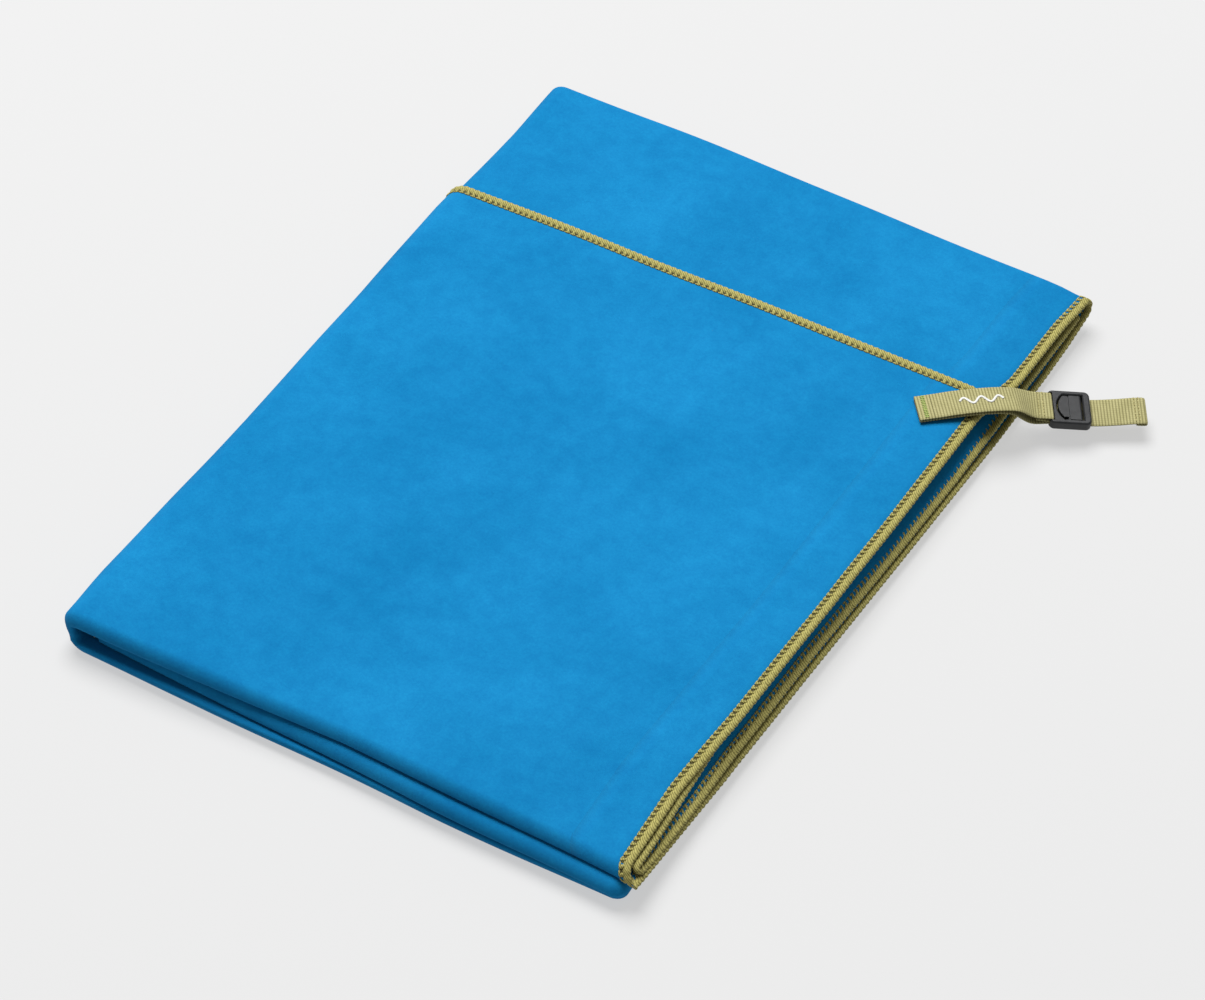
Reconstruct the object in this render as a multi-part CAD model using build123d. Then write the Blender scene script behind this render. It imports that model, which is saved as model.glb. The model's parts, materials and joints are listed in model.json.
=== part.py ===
from build123d import *
import os

# A quick-drying travel towel, folded flat, with a hanging strap sewn to one corner.
# Millimetres. +Z is up, +Y runs along the longer side of the folded packet, and the
# origin is the centre of the face that the packet lies on.

# folded packet
PACKET_WIDTH = 242.0
PACKET_LENGTH = 342.0
CLOTH_THIRD = 5.8
THIRD_GAP = 0.3
LAYER = 1.45
HEM_EDGE_Y = 96.0
HEM_SETBACK = PACKET_LENGTH / 2 - HEM_EDGE_Y
CORNER_X = 117.0
TOP_LAYER_FRONT_X = 110.5

# overlocked edging
EDGING_WIDTH = 4.6
EDGING_THICKNESS = 1.3
EDGING_LIFT = 0.3

# strap, sewn on at the free corner and leaving it diagonally
WEBBING_WIDTH = 12.7
WEBBING = 0.8
STRAP_START = (98.5, 76.9)
STRAP_HEADING = 39.0
SEWN_END_LENGTH = 3.0
STITCH_ROWS = 2
STITCH_WIDTH = 0.7
STITCH_HEIGHT = 0.35

# cam buckle
BUCKLE_CENTRE = (140.8, 112.1, 9.7)
BUCKLE_HEADING = 33.0
BUCKLE_PITCH = 7.0
BUCKLE_ROLL = 6.0
BUCKLE_LENGTH = 16.0
BUCKLE_WIDTH = 15.8
BUCKLE_HEIGHT = 4.0
WINDOW_LEFT = -4.9
WINDOW_RIGHT = 5.2
WINDOW_HALF = 6.0
SLOT_LEFT = -7.1
SLOT_RIGHT = -6.1
CHANNEL_HALF = 6.7
CHANNEL_LOW = -1.55
CHANNEL_HIGH = -0.2
BAR_LOW = 0.6
BAR_HIGH = 1.4
PIN_A = 3.9
PIN_C = 0.75
PIN_DIAMETER = 1.0
PIN_CLEARANCE = 0.05
LEVER_NOSE = 0.9
LEVER_HALF = 5.7
LEVER_TIP = -4.3
GRIP_RIGHT = -0.7
LEVER_TOP = 1.65
LEVER_UNDERSIDE = 0.2
GRIP_TOP = 2.15

# adjustable webbing
TAIL_END = 28.5
TAIL_START = -12.6
TAIL_LOW = -1.3
FOLDED_END = 4.5

# heights of the stacked thirds
BOTTOM_TOP = CLOTH_THIRD
MIDDLE_LOW = BOTTOM_TOP + THIRD_GAP
MIDDLE_TOP = MIDDLE_LOW + CLOTH_THIRD
TOP_LOW = MIDDLE_TOP + THIRD_GAP
TOP_TOP = TOP_LOW + CLOTH_THIRD
FOLD_AXIS_Z = TOP_TOP / 2
FOLD_RADIUS = TOP_TOP / 2
LEFT_FOLD_X = -PACKET_WIDTH / 2 + FOLD_RADIUS
RIGHT_FOLD_RADIUS = MIDDLE_TOP / 2
RIGHT_FOLD_X = 116.0 - RIGHT_FOLD_RADIUS
OPEN_EDGE_X = PACKET_WIDTH / 2 - EDGING_WIDTH
FRONT_Y = -PACKET_LENGTH / 2
BACK_Y = PACKET_LENGTH / 2
HEM_STRAND_Y = HEM_EDGE_Y - EDGING_WIDTH / 2
FAR_HEM_Y = BACK_Y - 16.0

os.makedirs("parts", exist_ok=True)


def block(x0, x1, y0, y1, z0, z1):
    """A box given by its limits."""
    size = Box(x1 - x0, y1 - y0, z1 - z0)
    return Pos((x0 + x1) / 2, (y0 + y1) / 2, (z0 + z1) / 2) * size


def rolled_slab(x0, x1, z0, z1):
    """Four cloth layers rolled along Y, so the front and back edges are half round."""
    radius = (z1 - z0) / 2
    middle = (z0 + z1) / 2
    slab = block(x0, x1, FRONT_Y + radius, BACK_Y - radius, z0, z1)
    for y in (FRONT_Y + radius, BACK_Y - radius):
        rod = Pos((x0 + x1) / 2, y, middle) * Rot(0, 90, 0) * Cylinder(radius, x1 - x0)
        slab = slab + rod
    return slab


def half_tube(x, z, outer, inner, keep_left):
    """Cloth turning over along a Y axis through (x, z)."""
    length = PACKET_LENGTH - CLOTH_THIRD
    tube = Pos(x, 0, z) * Rot(90, 0, 0) * Cylinder(outer, length)
    tube = tube - Pos(x, 0, z) * Rot(90, 0, 0) * Cylinder(inner, length + 1)
    if keep_left:
        return tube & block(x - outer - 1, x, FRONT_Y, BACK_Y, z - outer - 1, z + outer + 1)
    return tube & block(x, x + outer + 1, FRONT_Y, BACK_Y, z - outer - 1, z + outer + 1)


def strand_channel(y, z0, z1, margin=0.1):
    """The room that an edging strand takes in the cloth, across the packet."""
    half = EDGING_WIDTH / 2 + margin
    return block(-PACKET_WIDTH, PACKET_WIDTH, y - half, y + half, z0, z1)


# towel cloth -------------------------------------------------------------------

left_fold = half_tube(LEFT_FOLD_X, FOLD_AXIS_Z, FOLD_RADIUS, FOLD_RADIUS - CLOTH_THIRD, True)
split = THIRD_GAP / 2
lower_fold = left_fold & block(-PACKET_WIDTH, 0, FRONT_Y, BACK_Y, 0, FOLD_AXIS_Z - split)
upper_fold = left_fold & block(-PACKET_WIDTH, 0, FRONT_Y, BACK_Y, FOLD_AXIS_Z + split, TOP_TOP)


def hem_ring(x, z, outer, keep_left):
    """An edging strand turning over a fold of the packet."""
    ring = Pos(x, HEM_STRAND_Y, z) * Rot(90, 0, 0) * Cylinder(outer, EDGING_WIDTH)
    ring = ring - Pos(x, HEM_STRAND_Y, z) * Rot(90, 0, 0) * Cylinder(
        outer - EDGING_THICKNESS, EDGING_WIDTH + 1
    )
    x0 = x - outer - 1 if keep_left else x
    return ring & block(x0, x0 + outer + 1, FRONT_Y, BACK_Y, z - outer - 1, z + outer + 1)


def hem_ring_room(x, z, outer, keep_left):
    """The groove in the cloth that holds hem_ring."""
    width = EDGING_WIDTH + 0.2
    room = Pos(x, HEM_STRAND_Y, z) * Rot(90, 0, 0) * Cylinder(outer + 1, width)
    room = room - Pos(x, HEM_STRAND_Y, z) * Rot(90, 0, 0) * Cylinder(
        outer - EDGING_THICKNESS - 0.05, width + 1
    )
    x0 = x - outer - 2 if keep_left else x
    return room & block(x0, x0 + outer + 2, FRONT_Y, BACK_Y, z - outer - 2, z + outer + 2)


# bottom third: lies on the table, with the lower half of the left fold
bottom_third = rolled_slab(LEFT_FOLD_X, RIGHT_FOLD_X, 0, BOTTOM_TOP) + lower_fold
bottom_third -= strand_channel(HEM_STRAND_Y, -1, EDGING_THICKNESS + 0.05) & block(
    LEFT_FOLD_X, RIGHT_FOLD_X, FRONT_Y, BACK_Y, -1, 3
)
bottom_third -= hem_ring_room(LEFT_FOLD_X, FOLD_AXIS_Z, FOLD_RADIUS, True)
inner_low = BOTTOM_TOP / 2 - EDGING_THICKNESS / 2
bottom_third -= strand_channel(FAR_HEM_Y, inner_low, inner_low + EDGING_THICKNESS, 0.0)

# right fold: the cloth turns from the bottom third up into the middle third
right_fold = half_tube(RIGHT_FOLD_X, RIGHT_FOLD_RADIUS, RIGHT_FOLD_RADIUS, THIRD_GAP / 2, False)
right_fold -= hem_ring_room(RIGHT_FOLD_X, RIGHT_FOLD_RADIUS, RIGHT_FOLD_RADIUS, False)

# middle third: tucked between the other two, with its bound side inside the left fold
middle_left = LEFT_FOLD_X - 1.0 + EDGING_WIDTH
middle_third = rolled_slab(middle_left, RIGHT_FOLD_X, MIDDLE_LOW, MIDDLE_TOP)
middle_third -= strand_channel(HEM_STRAND_Y, MIDDLE_TOP - EDGING_THICKNESS - 0.05, MIDDLE_TOP + 1)
inner_middle = (MIDDLE_LOW + MIDDLE_TOP) / 2 - EDGING_THICKNESS / 2
middle_third -= strand_channel(FAR_HEM_Y, inner_middle, inner_middle + EDGING_THICKNESS, 0.0)

# top third: its uppermost layer stops at the hem, short of the back, and its free
# side runs slightly aslant from the corner to the front
under_layers = rolled_slab(LEFT_FOLD_X, OPEN_EDGE_X, TOP_LOW, TOP_TOP - LAYER)
top_outline = make_face(
    Polyline(
        (LEFT_FOLD_X, FRONT_Y + 2.2),
        (TOP_LAYER_FRONT_X, FRONT_Y + 2.2),
        (CORNER_X - EDGING_WIDTH, HEM_EDGE_Y - EDGING_WIDTH),
        (LEFT_FOLD_X, HEM_EDGE_Y - EDGING_WIDTH),
        close=True,
    )
)
top_layer = Pos(0, 0, TOP_TOP - LAYER) * extrude(top_outline, LAYER)
top_third = under_layers + top_layer + upper_fold
top_third -= hem_ring_room(LEFT_FOLD_X, FOLD_AXIS_Z, FOLD_RADIUS, True)
inner_top = (TOP_LOW + TOP_TOP - LAYER) / 2 - EDGING_THICKNESS / 2
top_third -= strand_channel(FAR_HEM_Y, inner_top, inner_top + EDGING_THICKNESS, 0.0)

# edging ------------------------------------------------------------------------

strand_y = (HEM_STRAND_Y - EDGING_WIDTH / 2, HEM_STRAND_Y + EDGING_WIDTH / 2)
hem_ring_left = hem_ring(LEFT_FOLD_X, FOLD_AXIS_Z, FOLD_RADIUS, True)

hem_edging_top = block(
    LEFT_FOLD_X, CORNER_X, *strand_y, TOP_TOP - LAYER + 0.05, TOP_TOP + EDGING_LIFT
)
hem_edging_top += hem_ring_left & block(
    -PACKET_WIDTH, 0, FRONT_Y, BACK_Y, FOLD_AXIS_Z + split, TOP_TOP
)

hem_edging_base = block(LEFT_FOLD_X, RIGHT_FOLD_X, *strand_y, 0, EDGING_THICKNESS)
hem_edging_base += hem_ring_left & block(
    -PACKET_WIDTH, 0, FRONT_Y, BACK_Y, 0, FOLD_AXIS_Z - split
)
hem_edging_base += hem_ring(RIGHT_FOLD_X, RIGHT_FOLD_RADIUS, RIGHT_FOLD_RADIUS, False)
hem_edging_base += block(
    middle_left, RIGHT_FOLD_X, *strand_y, MIDDLE_TOP - EDGING_THICKNESS, MIDDLE_TOP
)

far_y = (FAR_HEM_Y - EDGING_WIDTH / 2, FAR_HEM_Y + EDGING_WIDTH / 2)
far_hem_edging_base = block(
    LEFT_FOLD_X, RIGHT_FOLD_X, *far_y, inner_low, inner_low + EDGING_THICKNESS
)
far_hem_edging_base += block(
    middle_left, RIGHT_FOLD_X, *far_y, inner_middle, inner_middle + EDGING_THICKNESS
)
far_hem_edging_top = block(
    LEFT_FOLD_X, OPEN_EDGE_X, *far_y, inner_top, inner_top + EDGING_THICKNESS
)


def bight(x0, x1, y, z0, z1, forward):
    """A strand turning over at the front or back, from height z0 to z1."""
    radius = (z1 - z0) / 2
    middle = (z0 + z1) / 2
    turn = Pos((x0 + x1) / 2, y, middle) * Rot(0, 90, 0) * Cylinder(radius, x1 - x0)
    if radius > EDGING_THICKNESS:
        turn -= Pos((x0 + x1) / 2, y, middle) * Rot(0, 90, 0) * Cylinder(
            radius - EDGING_THICKNESS, x1 - x0 + 1
        )
    y0 = y - radius if forward else y
    return turn & block(x0, x1, y0, y0 + radius, z0, z1)


def side_strand(x0, x1, low, layer_runs_forward):
    """The bound side of one third: the edging follows the four rolled layers."""
    level = [low + i * LAYER for i in range(4)]
    top = level[3] + EDGING_THICKNESS
    outer = (top - low) / 2
    strand = block(x0, x1, FRONT_Y + outer, BACK_Y - outer, low, low + EDGING_THICKNESS)
    second = (level[2] + EDGING_THICKNESS - low) / 2
    strand += block(
        x0, x1, FRONT_Y + 5, BACK_Y - outer, level[2], level[2] + EDGING_THICKNESS
    )
    strand += bight(x0, x1, BACK_Y - outer, low, level[2] + EDGING_THICKNESS, False)
    strand += block(x0, x1, FRONT_Y + 5, FAR_HEM_Y, level[1], level[1] + EDGING_THICKNESS)
    strand += bight(x0, x1, FRONT_Y + 5, level[1], level[2] + EDGING_THICKNESS, True)
    strand += bight(x0, x1, FRONT_Y + outer, low, top, True)
    if layer_runs_forward:
        strand += block(x0, x1, FRONT_Y + outer, HEM_EDGE_Y, level[3], top)
    return strand


# the upper run of the open side follows the slanting edge of the uppermost layer
upper_run_outline = make_face(
    Polyline(
        (TOP_LAYER_FRONT_X, FRONT_Y + 2.5),
        (PACKET_WIDTH / 2, FRONT_Y + 2.5),
        (PACKET_WIDTH / 2, FRONT_Y + 8.0),
        (TOP_LAYER_FRONT_X + EDGING_WIDTH, FRONT_Y + 8.0),
        (CORNER_X, HEM_EDGE_Y - EDGING_WIDTH),
        (CORNER_X - EDGING_WIDTH, HEM_EDGE_Y - EDGING_WIDTH),
        close=True,
    )
)
side_edging = side_strand(OPEN_EDGE_X, PACKET_WIDTH / 2, TOP_LOW, False)
side_edging += Pos(0, 0, TOP_TOP - LAYER + 0.05) * extrude(upper_run_outline, LAYER + 0.2)
top_third -= Pos(0, 0, TOP_TOP - LAYER + 0.05) * extrude(upper_run_outline, LAYER + 1)

inner_side_edging = side_strand(middle_left - EDGING_WIDTH, middle_left, MIDDLE_LOW, True)

# strap -------------------------------------------------------------------------

strap_plane = Plane(
    origin=(STRAP_START[0], STRAP_START[1], TOP_TOP),
    x_dir=Vector(1, 0, 0).rotate(Axis.Z, STRAP_HEADING),
    z_dir=(0, 0, 1),
)
buckle_along = Vector(1, 0, 0).rotate(Axis.Y, BUCKLE_PITCH).rotate(Axis.Z, BUCKLE_HEADING)
buckle_normal = Vector(0, 0, 1).rotate(Axis.X, BUCKLE_ROLL)
buckle_normal = buckle_normal.rotate(Axis.Y, BUCKLE_PITCH).rotate(Axis.Z, BUCKLE_HEADING)
buckle_plane = Plane(origin=BUCKLE_CENTRE, x_dir=buckle_along, z_dir=buckle_normal)


def local_block(plane, a0, a1, half, c0, c1):
    """A box in a strap frame: a along the webbing, c away from its face."""
    return plane.location * block(a0, a1, -half, half, c0, c1)


def webbing(stations):
    """Flat webbing through (plane, a, c) stations, c being its middle."""
    sections = []
    for plane, a, c in stations:
        centre = plane.from_local_coords((a, 0, c))
        across = Plane(origin=centre, x_dir=plane.y_dir, z_dir=plane.x_dir)
        sections.append(across * Rectangle(WEBBING_WIDTH, WEBBING))
    return loft(sections, ruled=True)


def stitches(plane, positions, c0, c1, half):
    """Rows of thread across the webbing."""
    rows = [local_block(plane, a, a + STITCH_WIDTH, half, c0, c1) for a in positions]
    joined = rows[0]
    for row in rows[1:]:
        joined += row
    return joined


LOWER_MIDDLE = 0.5 + WEBBING / 2 + EDGING_LIFT
UPPER_MIDDLE = LOWER_MIDDLE + WEBBING + 0.15
LOOP_TOP_MIDDLE = BAR_HIGH + 0.1 + WEBBING / 2
LOWER_ENTRY_MIDDLE = TAIL_LOW - 0.3 - WEBBING / 2

# the end that stays sewn to the towel, both runs together
strap_sewn_end = local_block(
    strap_plane,
    -SEWN_END_LENGTH,
    SEWN_END_LENGTH - 0.3,
    WEBBING_WIDTH / 2,
    0.0,
    UPPER_MIDDLE + WEBBING / 2,
)
corner_bartack = stitches(
    strap_plane,
    (-0.9,),
    UPPER_MIDDLE + WEBBING / 2,
    UPPER_MIDDLE + WEBBING / 2 + STITCH_HEIGHT,
    WEBBING_WIDTH / 2 - 0.6,
)

strap_upper_run = webbing(
    [
        (strap_plane, SEWN_END_LENGTH, UPPER_MIDDLE),
        (strap_plane, 12.0, UPPER_MIDDLE + 0.3),
        (strap_plane, 22.0, UPPER_MIDDLE + 0.3),
        (strap_plane, 28.0, UPPER_MIDDLE + 0.3),
        (strap_plane, 33.0, UPPER_MIDDLE),
        (buckle_plane, -12.5, LOOP_TOP_MIDDLE),
        (buckle_plane, -8.6, LOOP_TOP_MIDDLE),
    ]
)
half_web = WEBBING_WIDTH / 2
strap_upper_run += local_block(
    buckle_plane, -8.6, SLOT_RIGHT - 0.1, half_web, BAR_HIGH + 0.1, BAR_HIGH + 0.1 + WEBBING
)
strap_upper_run += local_block(
    buckle_plane,
    SLOT_LEFT + 0.1,
    SLOT_RIGHT - 0.1,
    half_web,
    CHANNEL_HIGH,
    BAR_HIGH + 0.1 + WEBBING,
)
strap_upper_run += local_block(
    buckle_plane, -10.0, SLOT_RIGHT - 0.1, half_web, CHANNEL_HIGH, CHANNEL_HIGH + WEBBING
)
strap_upper_run += local_block(
    buckle_plane, -10.0, -9.0, half_web, CHANNEL_HIGH, BAR_HIGH + 0.1 + WEBBING
)

strap_lower_run = webbing(
    [
        (strap_plane, SEWN_END_LENGTH, LOWER_MIDDLE),
        (strap_plane, 24.0, LOWER_MIDDLE),
        (strap_plane, 31.5, LOWER_MIDDLE - 0.1),
        (buckle_plane, -13.0, LOWER_ENTRY_MIDDLE),
        (buckle_plane, -BUCKLE_LENGTH / 2 - 0.4, LOWER_ENTRY_MIDDLE),
    ]
)

loop_stitching = stitches(
    buckle_plane,
    (-12.1, -10.4),
    LOOP_TOP_MIDDLE + WEBBING / 2,
    LOOP_TOP_MIDDLE + WEBBING / 2 + STITCH_HEIGHT,
    half_web - 0.8,
)

# a plain wave, printed in rubber on the flat of the upper run
wave_plane = Plane(
    origin=strap_plane.from_local_coords((17.0, 1.6, UPPER_MIDDLE + WEBBING / 2 + 0.3)),
    x_dir=strap_plane.x_dir,
    z_dir=strap_plane.z_dir,
)
wave_strip = None
for i in range(4):
    side = 1 if i % 2 == 0 else -1
    ring = Circle(1.6) - Circle(0.9)
    half_ring = ring & Pos(0, side * 1.0) * Rectangle(4, 2.0)
    piece = Pos(-3.75 + i * 2.5, 0) * half_ring
    wave_strip = piece if wave_strip is None else wave_strip + piece
strap_motif = wave_plane.location * extrude(wave_strip, 0.25)

# buckle frame ------------------------------------------------------------------

body = block(
    -BUCKLE_LENGTH / 2,
    BUCKLE_LENGTH / 2,
    -BUCKLE_WIDTH / 2,
    BUCKLE_WIDTH / 2,
    -BUCKLE_HEIGHT / 2,
    BUCKLE_HEIGHT / 2,
)
body = fillet(body.edges().filter_by(Axis.Z), 2.2)
body = fillet(body.faces().sort_by(Axis.Z)[-1].edges(), 0.8)
body = fillet(body.faces().sort_by(Axis.Z)[0].edges(), 0.5)

LONG = BUCKLE_LENGTH
body -= block(-LONG, LONG, -CHANNEL_HALF, CHANNEL_HALF, CHANNEL_LOW, CHANNEL_HIGH)
body -= block(SLOT_LEFT, SLOT_RIGHT, -CHANNEL_HALF, CHANNEL_HALF, CHANNEL_HIGH - 0.1, 4)
body -= block(-LONG, SLOT_RIGHT, -CHANNEL_HALF, CHANNEL_HALF, CHANNEL_HIGH - 0.1, BAR_LOW)
body -= block(-LONG, SLOT_RIGHT, -CHANNEL_HALF, CHANNEL_HALF, BAR_HIGH, 4)

# D-shaped window over the lever: straight on the right, bowed on the left
window = make_face(
    Polyline(
        (WINDOW_LEFT + 2.6, WINDOW_HALF),
        (WINDOW_RIGHT, WINDOW_HALF),
        (WINDOW_RIGHT, -WINDOW_HALF),
        (WINDOW_LEFT + 2.6, -WINDOW_HALF),
    )
    + ThreePointArc(
        (WINDOW_LEFT + 2.6, -WINDOW_HALF), (WINDOW_LEFT, 0), (WINDOW_LEFT + 2.6, WINDOW_HALF)
    )
)
body -= Pos(0, 0, CHANNEL_HIGH - 0.1) * extrude(window, 5)
rim = body.faces().sort_by(Axis.Z)[-1]
window_rim = [
    edge
    for edge in rim.edges()
    if abs(edge.center().X) <= WINDOW_RIGHT + 0.1 and abs(edge.center().Y) <= WINDOW_HALF + 0.1
]
body = chamfer(window_rim, 0.4)
pin_axis = Pos(PIN_A, 0, PIN_C) * Rot(90, 0, 0)
body -= pin_axis * Cylinder(PIN_DIAMETER / 2, BUCKLE_WIDTH - 2)
buckle_frame = buckle_plane.location * body

pin = pin_axis * Cylinder(PIN_DIAMETER / 2, BUCKLE_WIDTH - 2)
lever_pin = buckle_plane.location * pin

# cam lever: a plate that ends in a round cam on the pin, and a bowed thumb grip
nose = pin_axis * Cylinder(LEVER_NOSE, 2 * LEVER_HALF)
plate = block(GRIP_RIGHT + 0.6, PIN_A, -LEVER_HALF, LEVER_HALF, LEVER_UNDERSIDE, LEVER_TOP)
web = block(GRIP_RIGHT - 1, PIN_A, -LEVER_HALF, LEVER_HALF, LEVER_UNDERSIDE, LEVER_TOP - 0.6)
grip_outline = make_face(
    Polyline((LEVER_TIP + 1.8, 5.0), (GRIP_RIGHT, 5.0), (GRIP_RIGHT, -5.0), (LEVER_TIP + 1.8, -5.0))
    + ThreePointArc((LEVER_TIP + 1.8, -5.0), (LEVER_TIP, 0), (LEVER_TIP + 1.8, 5.0))
)
grip = Pos(0, 0, LEVER_UNDERSIDE) * extrude(grip_outline, GRIP_TOP - LEVER_UNDERSIDE)
lever = nose + plate + web + grip
lever -= pin_axis * Cylinder(PIN_DIAMETER / 2 + PIN_CLEARANCE, 20)
cam_lever = buckle_plane.location * lever

# adjustable webbing: enters under the strap, passes the cam and hangs out as a tail
strap_tail = local_block(
    buckle_plane, TAIL_START, TAIL_END, half_web, TAIL_LOW, TAIL_LOW + WEBBING
)
strap_tail += local_block(
    buckle_plane, TAIL_END - FOLDED_END, TAIL_END, half_web, TAIL_LOW - WEBBING, TAIL_LOW
)
tail_stitching = stitches(
    buckle_plane,
    (TAIL_END - 3.4, TAIL_END - 1.9),
    TAIL_LOW + WEBBING,
    TAIL_LOW + WEBBING + STITCH_HEIGHT,
    half_web - 0.8,
)

# one file per node -------------------------------------------------------------

NODES = {
    "bottom_third": bottom_third,
    "right_fold": right_fold,
    "middle_third": middle_third,
    "top_third": top_third,
    "hem_edging_top": hem_edging_top,
    "hem_edging_base": hem_edging_base,
    "far_hem_edging_top": far_hem_edging_top,
    "far_hem_edging_base": far_hem_edging_base,
    "side_edging": side_edging,
    "inner_side_edging": inner_side_edging,
    "strap_sewn_end": strap_sewn_end,
    "corner_bartack": corner_bartack,
    "strap_upper_run": strap_upper_run,
    "strap_lower_run": strap_lower_run,
    "loop_stitching": loop_stitching,
    "strap_motif": strap_motif,
    "buckle_frame": buckle_frame,
    "lever_pin": lever_pin,
    "cam_lever": cam_lever,
    "strap_tail": strap_tail,
    "tail_stitching": tail_stitching,
}

for name, shape in NODES.items():
    export_step(shape, f"parts/{name}.step")
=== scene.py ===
import json
import math

import bpy
import numpy as np
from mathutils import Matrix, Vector


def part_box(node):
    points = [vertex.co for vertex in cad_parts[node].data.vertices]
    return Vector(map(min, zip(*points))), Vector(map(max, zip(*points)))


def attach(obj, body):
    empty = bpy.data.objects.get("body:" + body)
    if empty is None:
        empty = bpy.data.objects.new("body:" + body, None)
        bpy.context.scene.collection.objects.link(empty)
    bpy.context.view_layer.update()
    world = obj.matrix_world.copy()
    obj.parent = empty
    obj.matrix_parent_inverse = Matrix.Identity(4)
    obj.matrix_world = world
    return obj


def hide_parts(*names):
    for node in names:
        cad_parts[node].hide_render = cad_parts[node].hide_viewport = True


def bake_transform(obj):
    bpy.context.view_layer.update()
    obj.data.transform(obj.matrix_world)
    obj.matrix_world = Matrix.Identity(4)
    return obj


# A quick-drying towel folded flat, with a hanging strap sewn to its free corner.
# Shapes are worked out in millimetres in the CAD frame and turned into metres
# when each mesh is made.

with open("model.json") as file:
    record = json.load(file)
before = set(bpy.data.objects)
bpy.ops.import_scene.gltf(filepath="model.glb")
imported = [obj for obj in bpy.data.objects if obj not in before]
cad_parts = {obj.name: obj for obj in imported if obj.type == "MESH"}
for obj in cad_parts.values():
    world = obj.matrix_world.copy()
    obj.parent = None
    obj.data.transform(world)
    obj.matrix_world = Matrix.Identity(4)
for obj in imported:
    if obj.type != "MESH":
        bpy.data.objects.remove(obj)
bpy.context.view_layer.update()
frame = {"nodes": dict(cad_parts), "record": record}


def box_mm(node):
    """Lowest and highest corner of a CAD node, in millimetres."""
    low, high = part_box(node)
    return np.array(low) * 1000, np.array(high) * 1000


def joint(name):
    """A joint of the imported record."""
    for entry in frame["record"]["behaviour"]["joints"]:
        if entry["name"] == name:
            return entry
    raise KeyError(name)


# sizes read from the frame --------------------------------------------------------

top_low, top_high = box_mm("top_third")
middle_low, middle_high = box_mm("middle_third")
_, hem_high = box_mm("hem_edging_top")
_, side_high = box_mm("side_edging")
_, right_high = box_mm("right_fold")

LEFT = top_low[0]
FRONT = top_low[1]
BACK = top_high[1]
TOP = top_high[2]
OPEN_SIDE = side_high[0]
HEM_Y = hem_high[1]
CORNER_X = hem_high[0]
THIRD = middle_high[2] - middle_low[2]
MIDDLE_Z = (middle_low[2] + middle_high[2]) / 2
RIGHT_FOLD_OUT = right_high[0]

# cloth and its folds: a turn is the radius of a fold, measured to the middle of the
# four layers, and starts at its turn_x
CLOTH = 1.0
PITCH = 1.45
LEFT_TURN = TOP / 2 - THIRD / 2
LEFT_TURN_X = LEFT + TOP / 2
BOTTOM_Z = THIRD / 2
RIGHT_TURN = (MIDDLE_Z - BOTTOM_Z) / 2
RIGHT_TURN_X = RIGHT_FOLD_OUT - RIGHT_TURN - THIRD / 2
MIDDLE_END_X = LEFT_TURN_X + 1.5
TOP_Z = TOP - THIRD / 2
FRONT_REACH = 1.6
CREASE_LEAN = 0.75
HEM_SHIFT = 1.8
SAMPLE_STEP = 6.0
EDGING_SAMPLE_STEP = 3.0

# overlocked edging
STITCH_PITCH = 2.5
BAND_CENTRE = 1.2
BAND_HALF = 1.5
BAND_HEIGHT = 1.1
RUNG_AT = 3.0
NEEDLE_LINE = 3.9

# strap
WEB_WIDTH = 12.7
WEB = 0.8
RIB = 1.15


# helpers --------------------------------------------------------------------------


def new_mesh(name, points, faces, material, smooth=True, uv=None):
    """A mesh object from points in millimetres. Nothing reaches below the table."""
    points = np.array(points, float)
    points[:, 2] = np.maximum(points[:, 2], 0.03)
    mesh = bpy.data.meshes.new(name)
    mesh.from_pydata((points * 0.001).tolist(), [], faces)
    if uv is not None:
        layer = mesh.uv_layers.new(name="UVMap")
        corner = np.empty(len(mesh.loops), np.int32)
        mesh.loops.foreach_get("vertex_index", corner)
        layer.data.foreach_set("uv", np.asarray(uv, np.float32)[corner].ravel())
    mesh.materials.append(material)
    mesh.polygons.foreach_set("use_smooth", [smooth] * len(mesh.polygons))
    mesh.update()
    obj = bpy.data.objects.new(name, mesh)
    bpy.context.scene.collection.objects.link(obj)
    return obj


def smoothstep(x, low, high):
    t = np.clip((x - low) / (high - low), 0.0, 1.0)
    return t * t * (3 - 2 * t)


def unit(v):
    return v / np.linalg.norm(v, axis=-1, keepdims=True)


def grid_faces(rows, columns, offset=0, close_rows=False, close_columns=False, flip=False):
    """Quads over a rows x columns grid of points."""
    faces = []
    for i in range(rows if close_rows else rows - 1):
        for j in range(columns if close_columns else columns - 1):
            a = i * columns + j
            b = i * columns + (j + 1) % columns
            c = ((i + 1) % rows) * columns + (j + 1) % columns
            d = ((i + 1) % rows) * columns + j
            quad = (a + offset, b + offset, c + offset, d + offset)
            faces.append(quad[::-1] if flip else quad)
    return faces


def shell(name, points, normals, thickness, material):
    """A closed sheet: a grid of points thickened to both sides along its normals.
    Its narrow rim is shaded flat, so that sheets meet without a line."""
    rows, columns, _ = points.shape
    upper = (points + normals * thickness / 2).reshape(-1, 3)
    lower = (points - normals * thickness / 2).reshape(-1, 3)
    count = rows * columns
    faces = grid_faces(rows, columns) + grid_faces(rows, columns, count, flip=True)
    rim = [i * columns for i in range(rows)]
    rim += [(rows - 1) * columns + j for j in range(1, columns)]
    rim += [i * columns + columns - 1 for i in range(rows - 2, -1, -1)]
    rim += [j for j in range(columns - 2, 0, -1)]
    broad_faces = len(faces)
    for k, a in enumerate(rim):
        b = rim[(k + 1) % len(rim)]
        faces.append((a, b, b + count, a + count))
    sheet = new_mesh(name, np.vstack([upper, lower]), faces, material)
    shaded_smooth = [k < broad_faces for k in range(len(faces))]
    sheet.data.polygons.foreach_set("use_smooth", shaded_smooth)
    return sheet


# how the towel is folded ----------------------------------------------------------


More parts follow.
